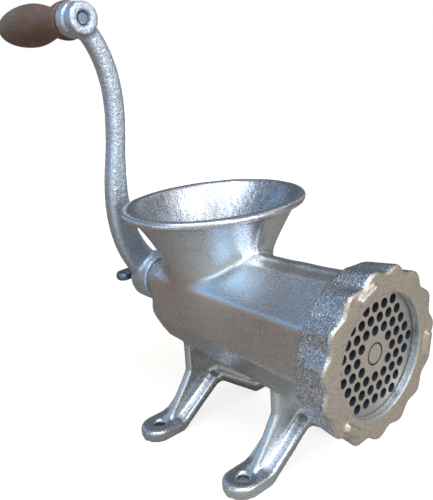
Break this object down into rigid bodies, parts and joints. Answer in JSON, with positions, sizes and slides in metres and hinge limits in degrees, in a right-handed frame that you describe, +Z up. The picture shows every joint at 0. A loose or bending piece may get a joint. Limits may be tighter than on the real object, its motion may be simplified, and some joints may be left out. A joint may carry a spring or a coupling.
{
  "type": "hand crank meat grinder",
  "caption": "Table meat grinder of tinned cast iron: oval hopper on a faceted barrel with arched feet, perforated plate under a scalloped ring, curved crank with a wooden grip.",
  "frame": {"origin": "on the table, at the centre of the four foot holes", "axes": "+Z up, +X along the barrel from the crank towards the plate, the crank's grip at rest on the -Y side"},
  "size_m": [0.3934, 0.1576, 0.3557],
  "materials": {
    "tinned_casting": "cast iron, hot dipped in tin, bright and grainy",
    "tinned_ring": "cast iron, hot dipped in tin, coarse sandy grain",
    "crank_casting": "cast iron, tinned, pebbled",
    "ground_plate": "hardened steel, ground flat",
    "hard_steel": "machined steel",
    "dark_steel": "malleable iron, dark, satin",
    "bearing_bronze": "turned bronze",
    "grip_wood": "turned hardwood, oiled"
  },
  "bodies": {
    "housing": {"grinder_body": "tinned_casting", "rear_bush": "bearing_bronze", "thrust_washer": "hard_steel", "plate_key": "hard_steel"},
    "drive": {"feed_screw": "tinned_casting", "knife_stud": "hard_steel", "cross_knife": "hard_steel", "crank_collar": "dark_steel", "crank_arm": "crank_casting", "grip_spindle": "hard_steel", "grip_front_washer": "hard_steel", "grip_end_washer": "hard_steel"},
    "grip": {"wooden_grip": "grip_wood"},
    "plate": {"grinding_plate": "ground_plate"},
    "ring": {"ring_nut": "tinned_ring"},
    "clamp_washer": {"screw_washer": "hard_steel"},
    "wing": {"wing_screw": "dark_steel"}
  },
  "joints": [
    {"name": "crank_turn", "type": "hinge", "parent": "housing", "child": "drive", "pos_m": [0, 0, 0.11], "axis": [1, 0, 0], "continuous": true},
    {"name": "grip_spin", "type": "hinge", "parent": "drive", "child": "grip", "pos_m": [-0.2, -0.0485, 0.3375], "axis": [1, 0, 0], "continuous": true},
    {"name": "plate_slide", "type": "slide", "parent": "housing", "child": "plate", "axis": [1, 0, 0], "range_m": [0, 0.0101]},
    {"name": "ring_turn", "type": "hinge", "parent": "plate", "child": "ring", "pos_m": [0.117, 0, 0.11], "axis": [1, 0, 0], "range_deg": [0, 900]},
    {"name": "washer_slide", "type": "slide", "parent": "drive", "child": "clamp_washer", "axis": [-1, 0, 0], "range_m": [0, 0.01]},
    {"name": "wing_turn", "type": "hinge", "parent": "clamp_washer", "child": "wing", "pos_m": [-0.14, 0, 0.11], "axis": [-1, 0, 0], "range_deg": [0, 1802]}
  ],
  "couplings": [
    {"joint": "plate_slide", "follows": "ring_turn", "m_per_rad": 0.00063662},
    {"joint": "wing_turn", "follows": "washer_slide", "rad_per_m": 3141.6}
  ]
}
